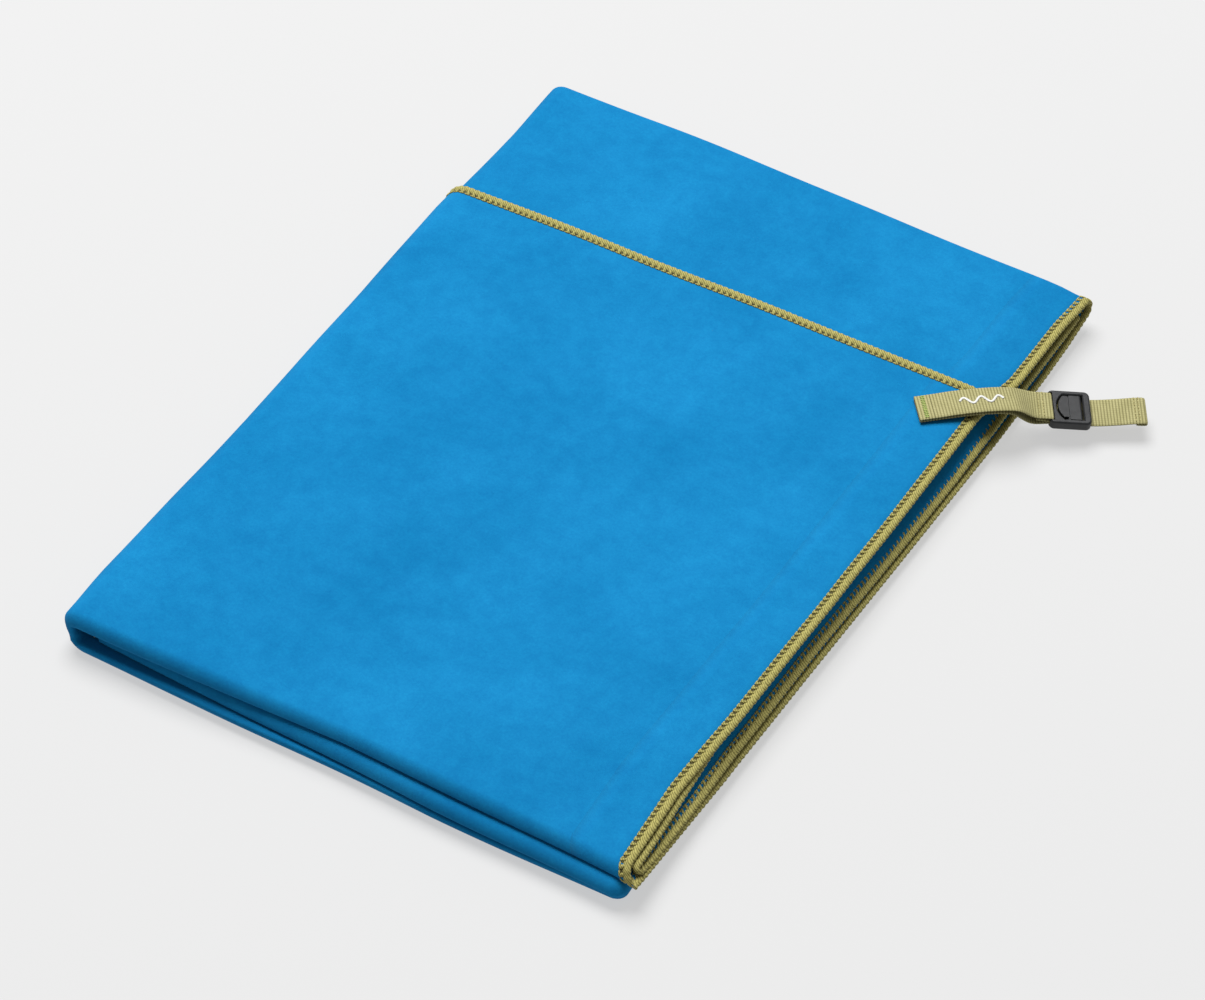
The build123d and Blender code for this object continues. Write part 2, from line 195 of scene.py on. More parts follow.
def across(s):
    """The middle of a four-layer roll, followed across the packet.

    s is zero where the top third meets the left fold, positive over the top third
    and negative round the left fold, along the bottom and up into the middle third.
    Returns x, z and the outward direction in the XZ plane."""
    s = np.asarray(s, float)
    bottom_run = RIGHT_TURN_X - LEFT_TURN_X
    left_end = -math.pi * LEFT_TURN
    bottom_end = left_end - bottom_run
    right_end = bottom_end - math.pi * RIGHT_TURN
    left_angle = np.clip(-s / LEFT_TURN, 0, math.pi)
    right_angle = np.clip((bottom_end - s) / RIGHT_TURN, 0, math.pi)

    on_top = s >= 0
    on_left = (s < 0) & (s >= left_end)
    on_bottom = (s < left_end) & (s >= bottom_end)
    on_right = (s < bottom_end) & (s >= right_end)
    spots = [on_top, on_left, on_bottom, on_right]
    x = np.select(
        spots,
        [
            LEFT_TURN_X + s,
            LEFT_TURN_X - LEFT_TURN * np.sin(left_angle),
            LEFT_TURN_X + left_end - s,
            RIGHT_TURN_X + RIGHT_TURN * np.sin(right_angle),
        ],
        RIGHT_TURN_X - (right_end - s),
    )
    z = np.select(
        spots,
        [
            TOP_Z + 0 * s,
            TOP / 2 + LEFT_TURN * np.cos(left_angle),
            BOTTOM_Z + 0 * s,
            BOTTOM_Z + RIGHT_TURN - RIGHT_TURN * np.cos(right_angle),
        ],
        MIDDLE_Z,
    )
    out_x = np.select(spots, [0 * s, -np.sin(left_angle), 0 * s, np.sin(right_angle)], 0.0)
    out_z = np.select(spots, [1 + 0 * s, np.cos(left_angle), -1 + 0 * s, -np.cos(right_angle)], 1.0)
    return x, z, out_x, out_z


def roll_samples(step):
    """The cloth followed along its length, through its four rolled layers.

    Each sample is y, offset outward from the roll's middle, the cloth's own facing
    in that plane, and the layers it lies between with how far it is from one to
    the other."""
    path = []

    def run(y0, y1, offset, layer):
        for y in np.linspace(y0, y1, max(2, int(abs(y1 - y0) / step))):
            path.append((y, offset, layer, layer, 0.0))

    def turn(y, offset0, offset1, side, layer0, layer1, reach, lean):
        """A fold; lean moves its foremost line from the middle to one face."""
        radius = (offset0 - offset1) / 2
        middle = (offset0 + offset1) / 2
        steps = 12
        for k in range(1, steps):
            angle = math.pi * k / steps
            height = math.cos(angle) - lean * math.sin(angle) ** 2
            y_turned = y + side * abs(radius) * reach * math.sin(angle)
            path.append((y_turned, middle + radius * height, layer0, layer1, k / steps))

    outer = 1.5 * PITCH
    inner = 0.5 * PITCH
    front_turn = FRONT + outer * FRONT_REACH + CLOTH / 2
    back_turn = BACK - PITCH * 1.15 - CLOTH / 2
    inner_turn = FRONT + outer + 4.0
    run(HEM_Y + HEM_SHIFT, front_turn, outer, 0)
    turn(front_turn, outer, -outer, -1, 0, 3, FRONT_REACH, CREASE_LEAN)
    run(front_turn, back_turn, -outer, 3)
    turn(back_turn, -outer, inner, 1, 3, 1, 1.15, 0.0)
    run(back_turn, inner_turn, inner, 1)
    turn(inner_turn, inner, -inner, -1, 1, 2, 1.15, 0.0)
    run(inner_turn, BACK - 9.0, -inner, 2)

    path = np.array(path)
    steps = unit(np.diff(path[:, :2], axis=0))
    heading = unit(np.vstack([steps[:1], steps[:-1] + steps[1:], steps[-1:]]))
    facing = np.stack([heading[:, 1], -heading[:, 0]], axis=1)
    return np.hstack([path[:, :2], facing, path[:, 2:]])


# how far each layer's bound side stands in from the open side, by station along y
SET_BACK = {
    0: ([FRONT, -129.0, -94.0, -25.0, HEM_Y], [5.8, 8.1, 6.2, 4.6, 4.0]),
    1: (
        [FRONT, -130.0, -95.0, -65.0, 40.0, 85.0, 110.0, 150.0, BACK],
        [3.6, 6.4, 8.4, 9.8, 9.5, 5.0, 0.2, 0.0, -1.5],
    ),
    2: (
        [FRONT, -100.0, -40.0, 0.0, 90.0, 130.0, BACK],
        [2.6, 3.2, 2.5, 1.3, -0.7, -0.8, -1.0],
    ),
    3: (
        [FRONT, -140.0, -100.0, -50.0, 0.0, 90.0, 130.0, BACK],
        [1.5, 2.4, 2.0, 1.0, -0.2, -2.2, -2.0, -2.0],
    ),
}

# how far the open side of each layer hangs towards the table, by station along y
HANG = {
    0: ([FRONT, -130.0, HEM_Y], [0.0, 1.0, 1.0]),
    1: ([FRONT, -150.0, -110.0, 60.0, 110.0, BACK], [0.2, 2.4, 3.0, 2.0, 0.3, 0.8]),
    2: (
        [FRONT, -160.0, -150.0, -125.0, 60.0, 110.0, 150.0, BACK],
        [0.5, 2.8, 5.0, 7.2, 7.6, 4.6, 4.0, 2.5],
    ),
    3: (
        [FRONT, -160.0, -140.0, -110.0, 130.0, 150.0, BACK],
        [0.5, 3.0, 6.5, 8.6, 8.8, 7.5, 4.0],
    ),
}


def layer_edge(layer, y):
    """Where each layer's bound side lies. The layers are staggered: the second tucks
    in under the top one along the middle, and the lowest two lie furthest out."""
    return OPEN_SIDE - np.interp(y, *SET_BACK[layer])


def layer_hang(layer, y):
    """How far the open side of each layer hangs."""
    return np.interp(y, *HANG[layer])


def between_layers(samples, value):
    """A quantity known for each layer, for every sample of the roll."""
    result = []
    for y, _, _, _, layer0, layer1, share in samples:
        first = value(int(layer0), y)
        second = value(int(layer1), y)
        result.append(first + (second - first) * share)
    return np.array(result)


def side_edge(samples):
    """x of the bound side for every sample of the roll."""
    return between_layers(samples, layer_edge) - 0.6


def sag(samples):
    """How far the open side hangs, for every sample of the roll."""
    return between_layers(samples, layer_hang)


def front_shift(x, z):
    """How far the front of each third stands back from the front of the packet."""
    top = np.interp(x, [LEFT, -60.0, 0.0, 40.0, 114.0], [1.5, 2.8, 4.1, 3.0, 0.4])
    middle = np.interp(
        x,
        [LEFT, -115.5, -112.5, -107.0, -60.0, 0.0, 40.0, 80.0, 115.0],
        [1.8, 1.8, 11.0, 5.0, 3.2, 0.2, -1.6, -2.6, -4.0],
    )
    base = np.interp(x, [LEFT, -60.0, 0.0, 40.0, 115.0], [0.6, 0.0, -1.2, -2.2, -2.2])
    above_base = smoothstep(z, BOTTOM_Z + 2.4, MIDDLE_Z - 2.4)
    above_middle = smoothstep(z, MIDDLE_Z + 2.4, TOP_Z - 2.4)
    lower = base + (middle - base) * above_base
    return lower + (top - lower) * above_middle


def settle(points, in_base):
    """The way hand-folded cloth lies: thinner at the free corners, with slow waves
    along its folds and a softly uneven top. Nothing moves at table height, and the
    lower thirds stand in from the open side of the top third."""
    p = np.array(points, float)
    x, y, z = p[..., 0], p[..., 1], p[..., 2]
    level = np.clip(z / TOP, 0, 1.2)
    corner = smoothstep(x, 20.0, 118.0) * smoothstep(-y, 60.0, 168.0)
    back_corner = smoothstep(x, 20.0, 118.0) * smoothstep(y, 90.0, 168.0)
    by_strap = np.exp(-((x - 103.0) ** 2 + (y - 82.0) ** 2) / 1500.0)
    ripple = (
        0.55 * np.sin(0.021 * x + 0.013 * y + 0.6)
        + 0.35 * np.sin(0.047 * x - 0.029 * y + 1.7)
        + 0.18 * np.sin(0.083 * x + 0.071 * y)
        + 0.12 * np.sin(0.13 * y - 0.05 * x + 2.0)
    )
    z_new = z * (1.0 - 0.08 * corner - 0.10 * back_corner) + level * ripple * (1 - 0.85 * by_strap)

    front_pull = smoothstep(-y, 120.0, 168.0)
    back_pull = smoothstep(y, 120.0, 168.0)
    y_new = y + front_pull * (front_shift(x, z) + 0.35 * np.sin(0.055 * x + 1.1 + level * 2))
    y_new -= back_pull * np.interp(x, [-95.0, 83.0], [0.4, 3.3])

    left_soft = smoothstep(-x, 85.0, 119.0)
    x_new = x + left_soft * np.interp(
        y, [-160.0, -50.0, 30.0, 85.0, 140.0, 165.0], [0.6, 1.8, 1.2, 0.3, 2.2, 1.6]
    )
    pinch = smoothstep(-y, 140.0, 168.0) * smoothstep(-x, 100.0, 118.0)
    x_new += 4.5 * pinch * (1 - np.clip(level, 0, 1))
    tucked_in = smoothstep(x, 95.0, 116.0) * smoothstep(y, -166.0, -128.0)
    x_new -= np.where(in_base, 5.5 * tucked_in, 0.0)
    return np.stack([x_new, y_new, z_new], axis=-1)


def roll_frames(samples, s_rows):
    """Cloth points and facings: samples runs along the towel, s_rows across it."""
    x, z, out_x, out_z = across(s_rows)
    offset = samples[:, 1][:, None]
    y = np.repeat(samples[:, 0][:, None], s_rows.shape[1], axis=1)
    points = np.stack([x + offset * out_x, y, z + offset * out_z], axis=-1)
    hanging = np.where(s_rows > 0, smoothstep(x, OPEN_SIDE - 15.0, OPEN_SIDE), 0.0)
    points[..., 2] -= hanging * sag(samples)[:, None]
    facing_y = np.repeat(samples[:, 2][:, None], s_rows.shape[1], axis=1)
    facing_n = samples[:, 3][:, None]
    normals = np.stack([facing_n * out_x, facing_y, facing_n * out_z], axis=-1)
    return settle(points, s_rows <= 0), unit(normals)


# materials ------------------------------------------------------------------------


class Nodes:
    """Shorthand for building one procedural material."""

    def __init__(self, name, color, roughness):
        self.material = bpy.data.materials.new(name)
        self.material.use_nodes = True
        self.tree = self.material.node_tree
        self.shader = self.tree.nodes["Principled BSDF"]
        self.shader.inputs["Base Color"].default_value = (*color, 1)
        self.shader.inputs["Roughness"].default_value = roughness

    def add(self, kind, **values):
        node = self.tree.nodes.new(kind)
        for key, value in values.items():
            if hasattr(node, key):
                setattr(node, key, value)
            else:
                node.inputs[key.replace("_", " ")].default_value = value
        return node

    def link(self, source, target):
        self.tree.links.new(source, target)

    def coordinates(self, kind="Object", scale=(1, 1, 1)):
        """Coordinates in millimetres, stretched by scale."""
        source = self.add("ShaderNodeTexCoord")
        mapping = self.add("ShaderNodeMapping")
        size = 1000.0 if kind == "Object" else 1.0
        mapping.inputs["Scale"].default_value = [size * v for v in scale]
        self.link(source.outputs[kind], mapping.inputs["Vector"])
        return mapping.outputs["Vector"]

    def noise(self, vector, scale, detail=2.0, roughness=0.5):
        node = self.add("ShaderNodeTexNoise", Scale=scale, Detail=detail, Roughness=roughness)
        self.link(vector, node.inputs["Vector"])
        return node.outputs["Fac"]

    def ramp(self, value, stops):
        node = self.add("ShaderNodeValToRGB")
        elements = node.color_ramp.elements
        while len(elements) < len(stops):
            elements.new(0.5)
        for element, (position, color) in zip(elements, stops):
            element.position = position
            element.color = (*color, 1)
        self.link(value, node.inputs["Fac"])
        return node.outputs["Color"]

    def math(self, operation, a, b):
        node = self.add("ShaderNodeMath", operation=operation)
        for socket, value in zip(node.inputs, (a, b)):
            if isinstance(value, (int, float)):
                socket.default_value = value
            else:
                self.link(value, socket)
        return node.outputs["Value"]

    def mix(self, share, a, b, blend_type="MIX"):
        node = self.add("ShaderNodeMix", data_type="RGBA", blend_type=blend_type)
        for index, value in ((0, share), (6, a), (7, b)):
            if isinstance(value, (int, float)):
                node.inputs[index].default_value = value
            elif isinstance(value, tuple):
                node.inputs[index].default_value = (*value, 1)
            else:
                self.link(value, node.inputs[index])
        return node.outputs[2]

    def bump(self, height, strength, distance):
        node = self.add("ShaderNodeBump", Strength=strength, Distance=distance)
        self.link(height, node.inputs["Height"])
        self.link(node.outputs["Normal"], self.shader.inputs["Normal"])

    def color(self, value):
        self.link(value, self.shader.inputs["Base Color"])

    def sheen(self, weight, roughness, tint):
        self.shader.inputs["Sheen Weight"].default_value = weight
        self.shader.inputs["Sheen Roughness"].default_value = roughness
        self.shader.inputs["Sheen Tint"].default_value = (*tint, 1)


SUEDE_DEEP = (0.0035, 0.146, 0.330)
SUEDE_PALE = (0.0075, 0.185, 0.395)
# Webbing colours: the dark one is painted shade for the rib grooves, the light one the lit rib
# crests.
WEB_DARK = (0.155, 0.140, 0.053)
WEB_LIGHT = (0.370, 0.345, 0.165)


def suede_material():
    """Brushed microfibre: a short nap that catches the light unevenly."""
    m = Nodes("suede_microfibre", (0.006, 0.20, 0.46), 0.95)
    place = m.coordinates()
    broad = m.noise(place, 0.022, 4.0, 0.6)
    patch = m.noise(place, 0.16, 4.0, 0.6)
    grain = m.noise(place, 0.9, 4.0, 0.75)
    fuzz = m.noise(place, 3.4, 2.0, 0.7)
    tone = m.ramp(broad, [(0.3, SUEDE_DEEP), (0.7, SUEDE_PALE)])
    cloud = m.ramp(patch, [(0.35, (0.82, 0.89, 0.93)), (0.65, (1.0, 1.0, 1.0))])
    fine = m.ramp(grain, [(0.33, (0.74, 0.85, 0.91)), (0.67, (1.0, 1.0, 1.0))])
    m.color(m.mix(1.0, m.mix(1.0, tone, cloud, "MULTIPLY"), fine, "MULTIPLY"))
    height = m.math("ADD", m.math("MULTIPLY", grain, 0.6), m.math("MULTIPLY", fuzz, 0.4))
    m.bump(height, 0.4, 0.0004)
    m.sheen(0.06, 0.5, (0.25, 0.7, 1.0))
    m.shader.inputs["Specular IOR Level"].default_value = 0.05
    return m.material


def thread_material(name, dark, light):
    """Bulky overlock thread: fine plies along the stitch, with painted shade in the hollows between
    them.
    """
    m = Nodes(name, light, 0.8)
    place = m.coordinates()
    cloud = m.noise(place, 0.8, 3.0)
    plies = m.add("ShaderNodeTexWave", Scale=0.55, Distortion=2.5, Detail=2.0)
    plies.wave_type = "BANDS"
    plies.bands_direction = "DIAGONAL"
    plies.inputs["Detail Scale"].default_value = 1.5
    m.link(place, plies.inputs["Vector"])
    cloudy = m.math("MULTIPLY", cloud, 0.55)
    both = m.math("ADD", cloudy, m.math("MULTIPLY", plies.outputs["Fac"], 0.45))
    # Painted shade: the ramp darkens the hollows between the plies.
    m.color(m.ramp(both, [(0.22, dark), (0.62, light)]))
    m.bump(plies.outputs["Fac"], 0.4, 0.0002)
    m.sheen(0.08, 0.4, (1.0, 1.0, 0.85))
    m.shader.inputs["Specular IOR Level"].default_value = 0.2
    return m.material


def webbing_material():
    """Woven tape, with painted shade in the grooves between its ribs. The mesh's UVs count ribs
    along it and yarns across it.
    """
    m = Nodes("ribbed_webbing", WEB_LIGHT, 0.75)
    split = m.add("ShaderNodeSeparateXYZ")
    m.link(m.coordinates("UV"), split.inputs["Vector"])
    rib = m.math("ABSOLUTE", m.math("SINE", m.math("MULTIPLY", split.outputs["X"], math.pi), 0), 0)
    yarn = m.math("SINE", m.math("MULTIPLY", split.outputs["Y"], 2 * math.pi), 0)
    speck = m.noise(m.coordinates(), 1.6, 3.0, 0.7)
    raised = m.math("MULTIPLY", rib, m.math("ADD", m.math("MULTIPLY", yarn, 0.16), 0.84))
    both = m.math("ADD", m.math("MULTIPLY", raised, 0.7), m.math("MULTIPLY", speck, 0.3))
    # Painted shade and light: the ramp darkens the grooves between ribs and lightens their crests,
    # over the woven pattern.
    weave_and_groove_shade = m.ramp(both, [(0.18, WEB_DARK), (0.80, WEB_LIGHT)])
    patches = m.noise(m.coordinates(), 0.25, 2.0)
    fade = m.ramp(patches, [(0.3, (0.88, 0.88, 0.84)), (0.7, (1, 1, 1))])
    m.color(m.mix(1.0, weave_and_groove_shade, fade, "MULTIPLY"))
    m.bump(both, 0.5, 0.0002)
    m.sheen(0.08, 0.4, (1.0, 1.0, 0.85))
    m.shader.inputs["Specular IOR Level"].default_value = 0.2
    return m.material


def plastic_material():
    """Satin moulded nylon with a faint spark-eroded grain and rubbed patches."""
    m = Nodes("buckle_nylon", (0.024, 0.025, 0.027), 0.38)
    place = m.coordinates()
    grain = m.noise(place, 5.0, 3.0, 0.6)
    rub = m.noise(place, 0.35, 4.0, 0.6)
    m.color(m.ramp(rub, [(0.3, (0.010, 0.0105, 0.0115)), (0.75, (0.020, 0.021, 0.023))]))
    m.link(
        m.math("ADD", m.math("MULTIPLY", rub, 0.18), 0.29),
        m.shader.inputs["Roughness"],
    )
    m.bump(grain, 0.12, 0.0001)
    m.shader.inputs["Specular IOR Level"].default_value = 0.35
    return m.material


def steel_material():
    """Drawn steel wire with fine length-wise scratches."""
    m = Nodes("pin_steel", (0.55, 0.55, 0.56), 0.32)
    m.shader.inputs["Metallic"].default_value = 1.0
    scratch = m.noise(m.coordinates(scale=(6, 6, 0.6)), 2.0, 3.0)
    m.color(m.ramp(scratch, [(0.3, (0.42, 0.42, 0.43)), (0.7, (0.62, 0.62, 0.63))]))
    m.bump(scratch, 0.15, 0.0001)
    return m.material


def print_material():
    """Soft white print, slightly uneven where it fills the weave."""
    m = Nodes("motif_print", (0.57, 0.57, 0.55), 0.55)
    fill = m.noise(m.coordinates(), 2.2, 3.0, 0.6)
    m.color(m.ramp(fill, [(0.3, (0.45, 0.45, 0.41)), (0.6, (0.60, 0.60, 0.58))]))
    m.bump(fill, 0.4, 0.0002)
    return m.material


SUEDE = suede_material()
EDGING_THREAD = thread_material("edging_thread", (0.125, 0.110, 0.026), (0.350, 0.315, 0.100))
# Painted shade: a near-black copy of the edging thread, for the strip that stands in for the shade
# under the stitch loops.
PAINTED_SHADE_THREAD = thread_material(
    "edging_thread_painted_shade", (0.028, 0.025, 0.008), (0.080, 0.070, 0.022)
)
STRAP_THREAD = thread_material("strap_thread", (0.20, 0.17, 0.055), (0.37, 0.33, 0.145))
LIME_THREAD = thread_material("bartack_thread", (0.20, 0.28, 0.06), (0.33, 0.41, 0.12))
WEBBING = webbing_material()
PLASTIC = plastic_material()
STEEL = steel_material()
PRINT = print_material()


# towel cloth ----------------------------------------------------------------------

samples = roll_samples(SAMPLE_STEP)
edge_x = side_edge(samples)
bottom_run = RIGHT_TURN_X - LEFT_TURN_X
bottom_end = -math.pi * LEFT_TURN - bottom_run
right_end = bottom_end - math.pi * RIGHT_TURN
middle_end = right_end - (RIGHT_TURN_X - MIDDLE_END_X)

outer_common = np.concatenate(
    [
        np.linspace(bottom_end, -math.pi * LEFT_TURN, 38)[:-1],
        np.linspace(-math.pi * LEFT_TURN, 0, 17)[:-1],
    ]
)
top_share = np.linspace(0, 1, 40)
outer_rows = np.concatenate(
    [
        np.repeat(outer_common[None, :], len(samples), axis=0),
        (edge_x - LEFT_TURN_X)[:, None] * top_share[None, :],
    ],
    axis=1,
)
inner_row = np.concatenate(
    [
        np.linspace(middle_end, right_end, 38)[:-1],
        np.linspace(right_end, bottom_end, 13),
    ]
)
inner_rows = np.repeat(inner_row[None, :], len(samples), axis=0)

# The drooping strip along the open side turns with the top third as it is, while the rest stays
# where it lies. The two overlap by one column, one tucked in the other.
outer_points, outer_normals = roll_frames(samples, outer_rows)
STRIP_COLUMN = 35
TUCKED_THICKNESS = CLOTH - 0.2
strip_start = len(outer_common) + STRIP_COLUMN
tapered = np.full((1, strip_start + 2, 1), CLOTH)
tapered[0, -1] = TUCKED_THICKNESS
main_columns = slice(0, strip_start + 2)
towel_outer = shell(
    "towel_cloth",
    outer_points[:, main_columns],
    outer_normals[:, main_columns],
    tapered,
    SUEDE,
)
towel_strip = shell(
    "towel_cloth_open_side",
    outer_points[:, strip_start:],
    outer_normals[:, strip_start:],
    CLOTH,
    SUEDE,
)
inner_points, inner_normals = roll_frames(samples, inner_rows)
towel_inner = shell("towel_cloth_inside", inner_points, inner_normals, CLOTH, SUEDE)


def cross_fold(piece):
    """Bake a piece's placement into its mesh; the piece does not bend."""
    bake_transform(piece)


cross_fold(towel_outer)
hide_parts("top_third", "bottom_third")
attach(towel_strip, "opening_third")
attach(towel_inner, "folded_base")
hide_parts("middle_third", "right_fold")


# edging ---------------------------------------------------------------------------


def tube(rings):
    """A closed tube through rings of points."""
    count, around, _ = rings.shape
    faces = grid_faces(count, around, close_columns=True)
    faces.append(tuple(range(around)))
    faces.append(tuple((count - 1) * around + k for k in range(around))[::-1])
    return rings.reshape(-1, 3), faces


def gather(parts):
    """Several (points, faces) parts as one, with the part each face came from."""
    points, faces, owner = [], [], []
    for index, (part_points, part_faces) in enumerate(parts):
        offset = sum(len(p) for p in points)
        points.append(part_points)
        faces += [tuple(v + offset for v in f) for f in part_faces]
        owner += [index] * len(part_faces)
    return np.vstack(points), faces, owner


class Track:
    """A line with a sideways and a facing direction, followed by its length."""

    def __init__(self, points, inboard, normals):
        self.points = points
        self.inboard = unit(inboard)
        slant = np.sum(normals * self.inboard, axis=-1, keepdims=True)
        self.normals = unit(normals - slant * self.inboard)
        steps = np.linalg.norm(np.diff(points, axis=0), axis=1)
        self.length = np.concatenate([[0], np.cumsum(steps)])

    def at(self, along):
        def value(column):
            flat = [np.interp(along, self.length, column[:, k]) for k in range(3)]
            return np.stack(flat, axis=-1)

        return value(self.points), unit(value(self.inboard)), unit(value(self.normals))

    def place(self, along, side, height):
        """Local coordinates to points."""
        base, inboard, normal = self.at(along)
        return base + inboard * side[..., None] + normal * height[..., None]


def edging_band(track, per_stitch):
    """The bulky thread that wraps the cut edge, twisted like a cord."""
    total = track.length[-1]
    count = int(total / STITCH_PITCH * per_stitch)
    around = 12
    along = np.linspace(0, total, count)
    angle = np.linspace(0, 2 * math.pi, around, endpoint=False)
    a, w = np.meshgrid(along, angle, indexing="ij")
    swell = 1 + 0.10 * np.cos(2 * math.pi * a / STITCH_PITCH + w)
    side = BAND_CENTRE + BAND_HALF * swell * np.cos(w)
    height = BAND_HEIGHT * swell * np.sign(np.sin(w)) * np.abs(np.sin(w)) ** 0.85
    return tube(track.place(a, side, height))


def edging_shade_strip(track):
    """A flat dark strip under the loops: painted shade for the hollows between the stitches."""
    along = np.linspace(0, track.length[-1], int(track.length[-1] / 1.6))
    side = np.array([BAND_CENTRE, NEEDLE_LINE - 0.1, NEEDLE_LINE - 0.1, BAND_CENTRE])
    height = np.array([1, 1, -1, -1]) * (CLOTH / 2 + 0.07)
    a, k = np.meshgrid(along, np.arange(4), indexing="ij")
    return tube(track.place(a, side[k], height[k]))


def blob(lengthwise, crosswise, tall, rings=4, around=8):
    """A rounded lump, as local (along, side, height) points and faces."""
    points = [(0, -1.0, 0)]
    for i in range(1, rings):
        latitude = math.pi * i / rings
        for j in range(around):
            longitude = 2 * math.pi * j / around
            points.append(
                (
                    math.sin(latitude) * math.cos(longitude),
                    -math.cos(latitude),
                    math.sin(latitude) * math.sin(longitude),
                )
            )
    points.append((0, 1.0, 0))
    faces = []
    for j in range(around):
        faces.append((0, 1 + (j + 1) % around, 1 + j))
        for i in range(rings - 2):
            a = 1 + i * around + j
            b = 1 + i * around + (j + 1) % around
            faces.append((a, b, b + around, a + around))
        last = 1 + (rings - 2) * around
        faces.append((last + j, last + (j + 1) % around, len(points) - 1))
    scale = np.array([lengthwise, crosswise, tall])
    return np.array(points) * scale, faces


def edging_loops(track):
    """Threads that cross from the needle line to the band, with gaps between them,
    and the needle line itself, on both faces of the cloth."""
    total = track.length[-1]
    count = int(total / STITCH_PITCH)
    starts = (np.arange(count) + 0.5) * STITCH_PITCH
    rung = blob(0.72, 1.15, 0.5)
    knot = blob(1.32, 0.42, 0.42)
    kinds = ((rung, RUNG_AT, 0.5), (knot, NEEDLE_LINE, 0.0))
    parts = []
    for up in (1, -1):
        for (template, template_faces), side, slant in kinds:
            along = starts[:, None] + template[None, :, 0] + slant * template[None, :, 1]
            sideways = side + template[None, :, 1] + 0 * along
            height = up * (CLOTH / 2 + 0.15) + template[None, :, 2] + 0 * along
            points = track.place(np.clip(along, 0, total), sideways, height).reshape(-1, 3)
            each = len(template)
            faces = [tuple(v + k * each for v in f) for k in range(count) for f in template_faces]
            parts.append((points, faces))
    return parts


def edging(name, track, per_stitch=6):
    """One length of overlocked edging as a single piece."""
    parts = [edging_shade_strip(track), edging_band(track, per_stitch)] + edging_loops(track)
    points, faces, owner = gather(parts)
    # The strip under the loops takes the painted shade material; the band and the loops take the
    # thread.
    piece = new_mesh(name, points, faces, PAINTED_SHADE_THREAD)
    piece.data.materials.append(EDGING_THREAD)
    piece.data.polygons.foreach_set("material_index", [min(k, 1) for k in owner])
    return piece


def side_track(samples, s_values, towards):
    """The towel's long side; towards is +1 where the cloth lies at lower s."""
    rows = s_values[:, None] + np.array([[0.0, -towards * 2.0]])
    points, normals = roll_frames(samples, rows)
    return Track(points[:, 0], points[:, 1] - points[:, 0], normals[:, 0])


def hem_track(samples, s_values, first):
    """A short end of the towel, followed across the packet."""
    pair = samples[:2] if first else samples[-2:][::-1]
    rows = np.repeat(s_values[None, :], 2, axis=0)
    points, normals = roll_frames(pair, rows)
    return Track(points[0], points[1] - points[0], normals[0])


fine_samples = roll_samples(EDGING_SAMPLE_STEP)
side_piece = edging(
    "side_edging_stitched",
    side_track(fine_samples, side_edge(fine_samples) + 0.6 - LEFT_TURN_X, 1.0),
)
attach(side_piece, "opening_third")
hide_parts("side_edging")

inner_side_piece = edging(
    "inner_side_edging_stitched",
    side_track(fine_samples, np.full(len(fine_samples), middle_end - 0.5), -1.0),
    per_stitch=4,
)
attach(inner_side_piece, "folded_base")
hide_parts("inner_side_edging")

corner_s = CORNER_X - LEFT_TURN_X
outer_hem_s = np.concatenate([outer_common, np.linspace(0, corner_s - 1.0, 80)])
hem_outer = edging("near_hem_edging", hem_track(samples, outer_hem_s, True))
cross_fold(hem_outer)
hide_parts("hem_edging_top")

hem_inner = edging("near_hem_edging_inside", hem_track(samples, inner_row, True), per_stitch=4)
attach(hem_inner, "folded_base")
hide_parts("hem_edging_base")

far_outer_s = np.concatenate([outer_common, np.linspace(0, OPEN_SIDE - LEFT_TURN_X - 6.0, 40)])
far_outer = edging("far_hem_edging", hem_track(samples, far_outer_s, False), per_stitch=4)
cross_fold(far_outer)
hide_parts("far_hem_edging_top")

far_inner = edging("far_hem_edging_inside", hem_track(samples, inner_row, False), per_stitch=4)
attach(far_inner, "folded_base")
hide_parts("far_hem_edging_base")


# strap ----------------------------------------------------------------------------

swing = joint("strap_swings")
pull = joint("tail_pulls_through")
lift = joint("cam_lever_lifts")
PIN_ALONG = 3.9
PIN_ABOVE = 0.75
HINGE_FROM_START = 2.85
SEWN_TOP = 2.55

up = np.array([0.0, 0.0, 1.0])
strap_side = np.array(swing["axis"]) * -1.0
strap_along = np.cross(strap_side, up)
strap_origin = (
    np.array(swing["pos_m"]) * 1000 - strap_along * HINGE_FROM_START - up * SEWN_TOP
)
buckle_along = np.array(pull["axis"])
buckle_side = np.array(lift["axis"])
buckle_up = np.cross(buckle_along, buckle_side)
buckle_origin = (
    np.array(lift["pos_m"]) * 1000 - buckle_along * PIN_ALONG - buckle_up * PIN_ABOVE
)
STRAP_FRAME = (strap_origin, strap_along, strap_side, up)
BUCKLE_FRAME = (buckle_origin, buckle_along, buckle_side, buckle_up)

LOWER_MIDDLE = 1.2
UPPER_MIDDLE = 2.15
LOOP_TOP = 1.9
LOOP_LOW = 0.2
LOOP_CENTRE = -7.4
TAIL_MIDDLE = -0.9
TAIL_END = 29.2
TAIL_RISE = 3.0
FOLD_RADIUS = 0.45


def station(strap_frame, along, above):
    """A point on the strap's middle line and the strap's sideways direction there."""
    origin, forward, side, upward = strap_frame
    return origin + forward * along + upward * above, side


